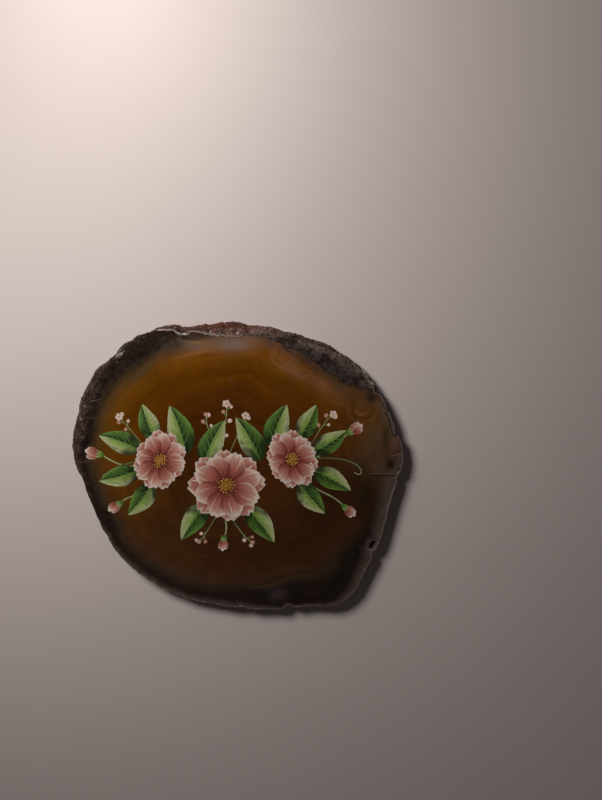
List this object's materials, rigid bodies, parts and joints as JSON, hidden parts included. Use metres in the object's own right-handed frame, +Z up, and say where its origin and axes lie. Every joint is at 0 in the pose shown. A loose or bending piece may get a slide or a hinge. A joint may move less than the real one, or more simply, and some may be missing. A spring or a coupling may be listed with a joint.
{
  "type": "painted agate slice",
  "caption": "Flat sawn agate slice with a polished banded face, a rough natural rind and a hand-painted spray of flowers.",
  "frame": {"origin": "on the surface that the slice lies on, under the middle of its outline", "axes": "+Z up out of the polished painted face, +Y towards the top of the slice as it is looked at, +X to its right"},
  "size_m": [0.1276, 0.1112, 0.0065],
  "materials": {
    "agate": "polished",
    "paint": "satin"
  },
  "bodies": {
    "root": {"agate_slice": "agate"}
  },
  "joints": []
}
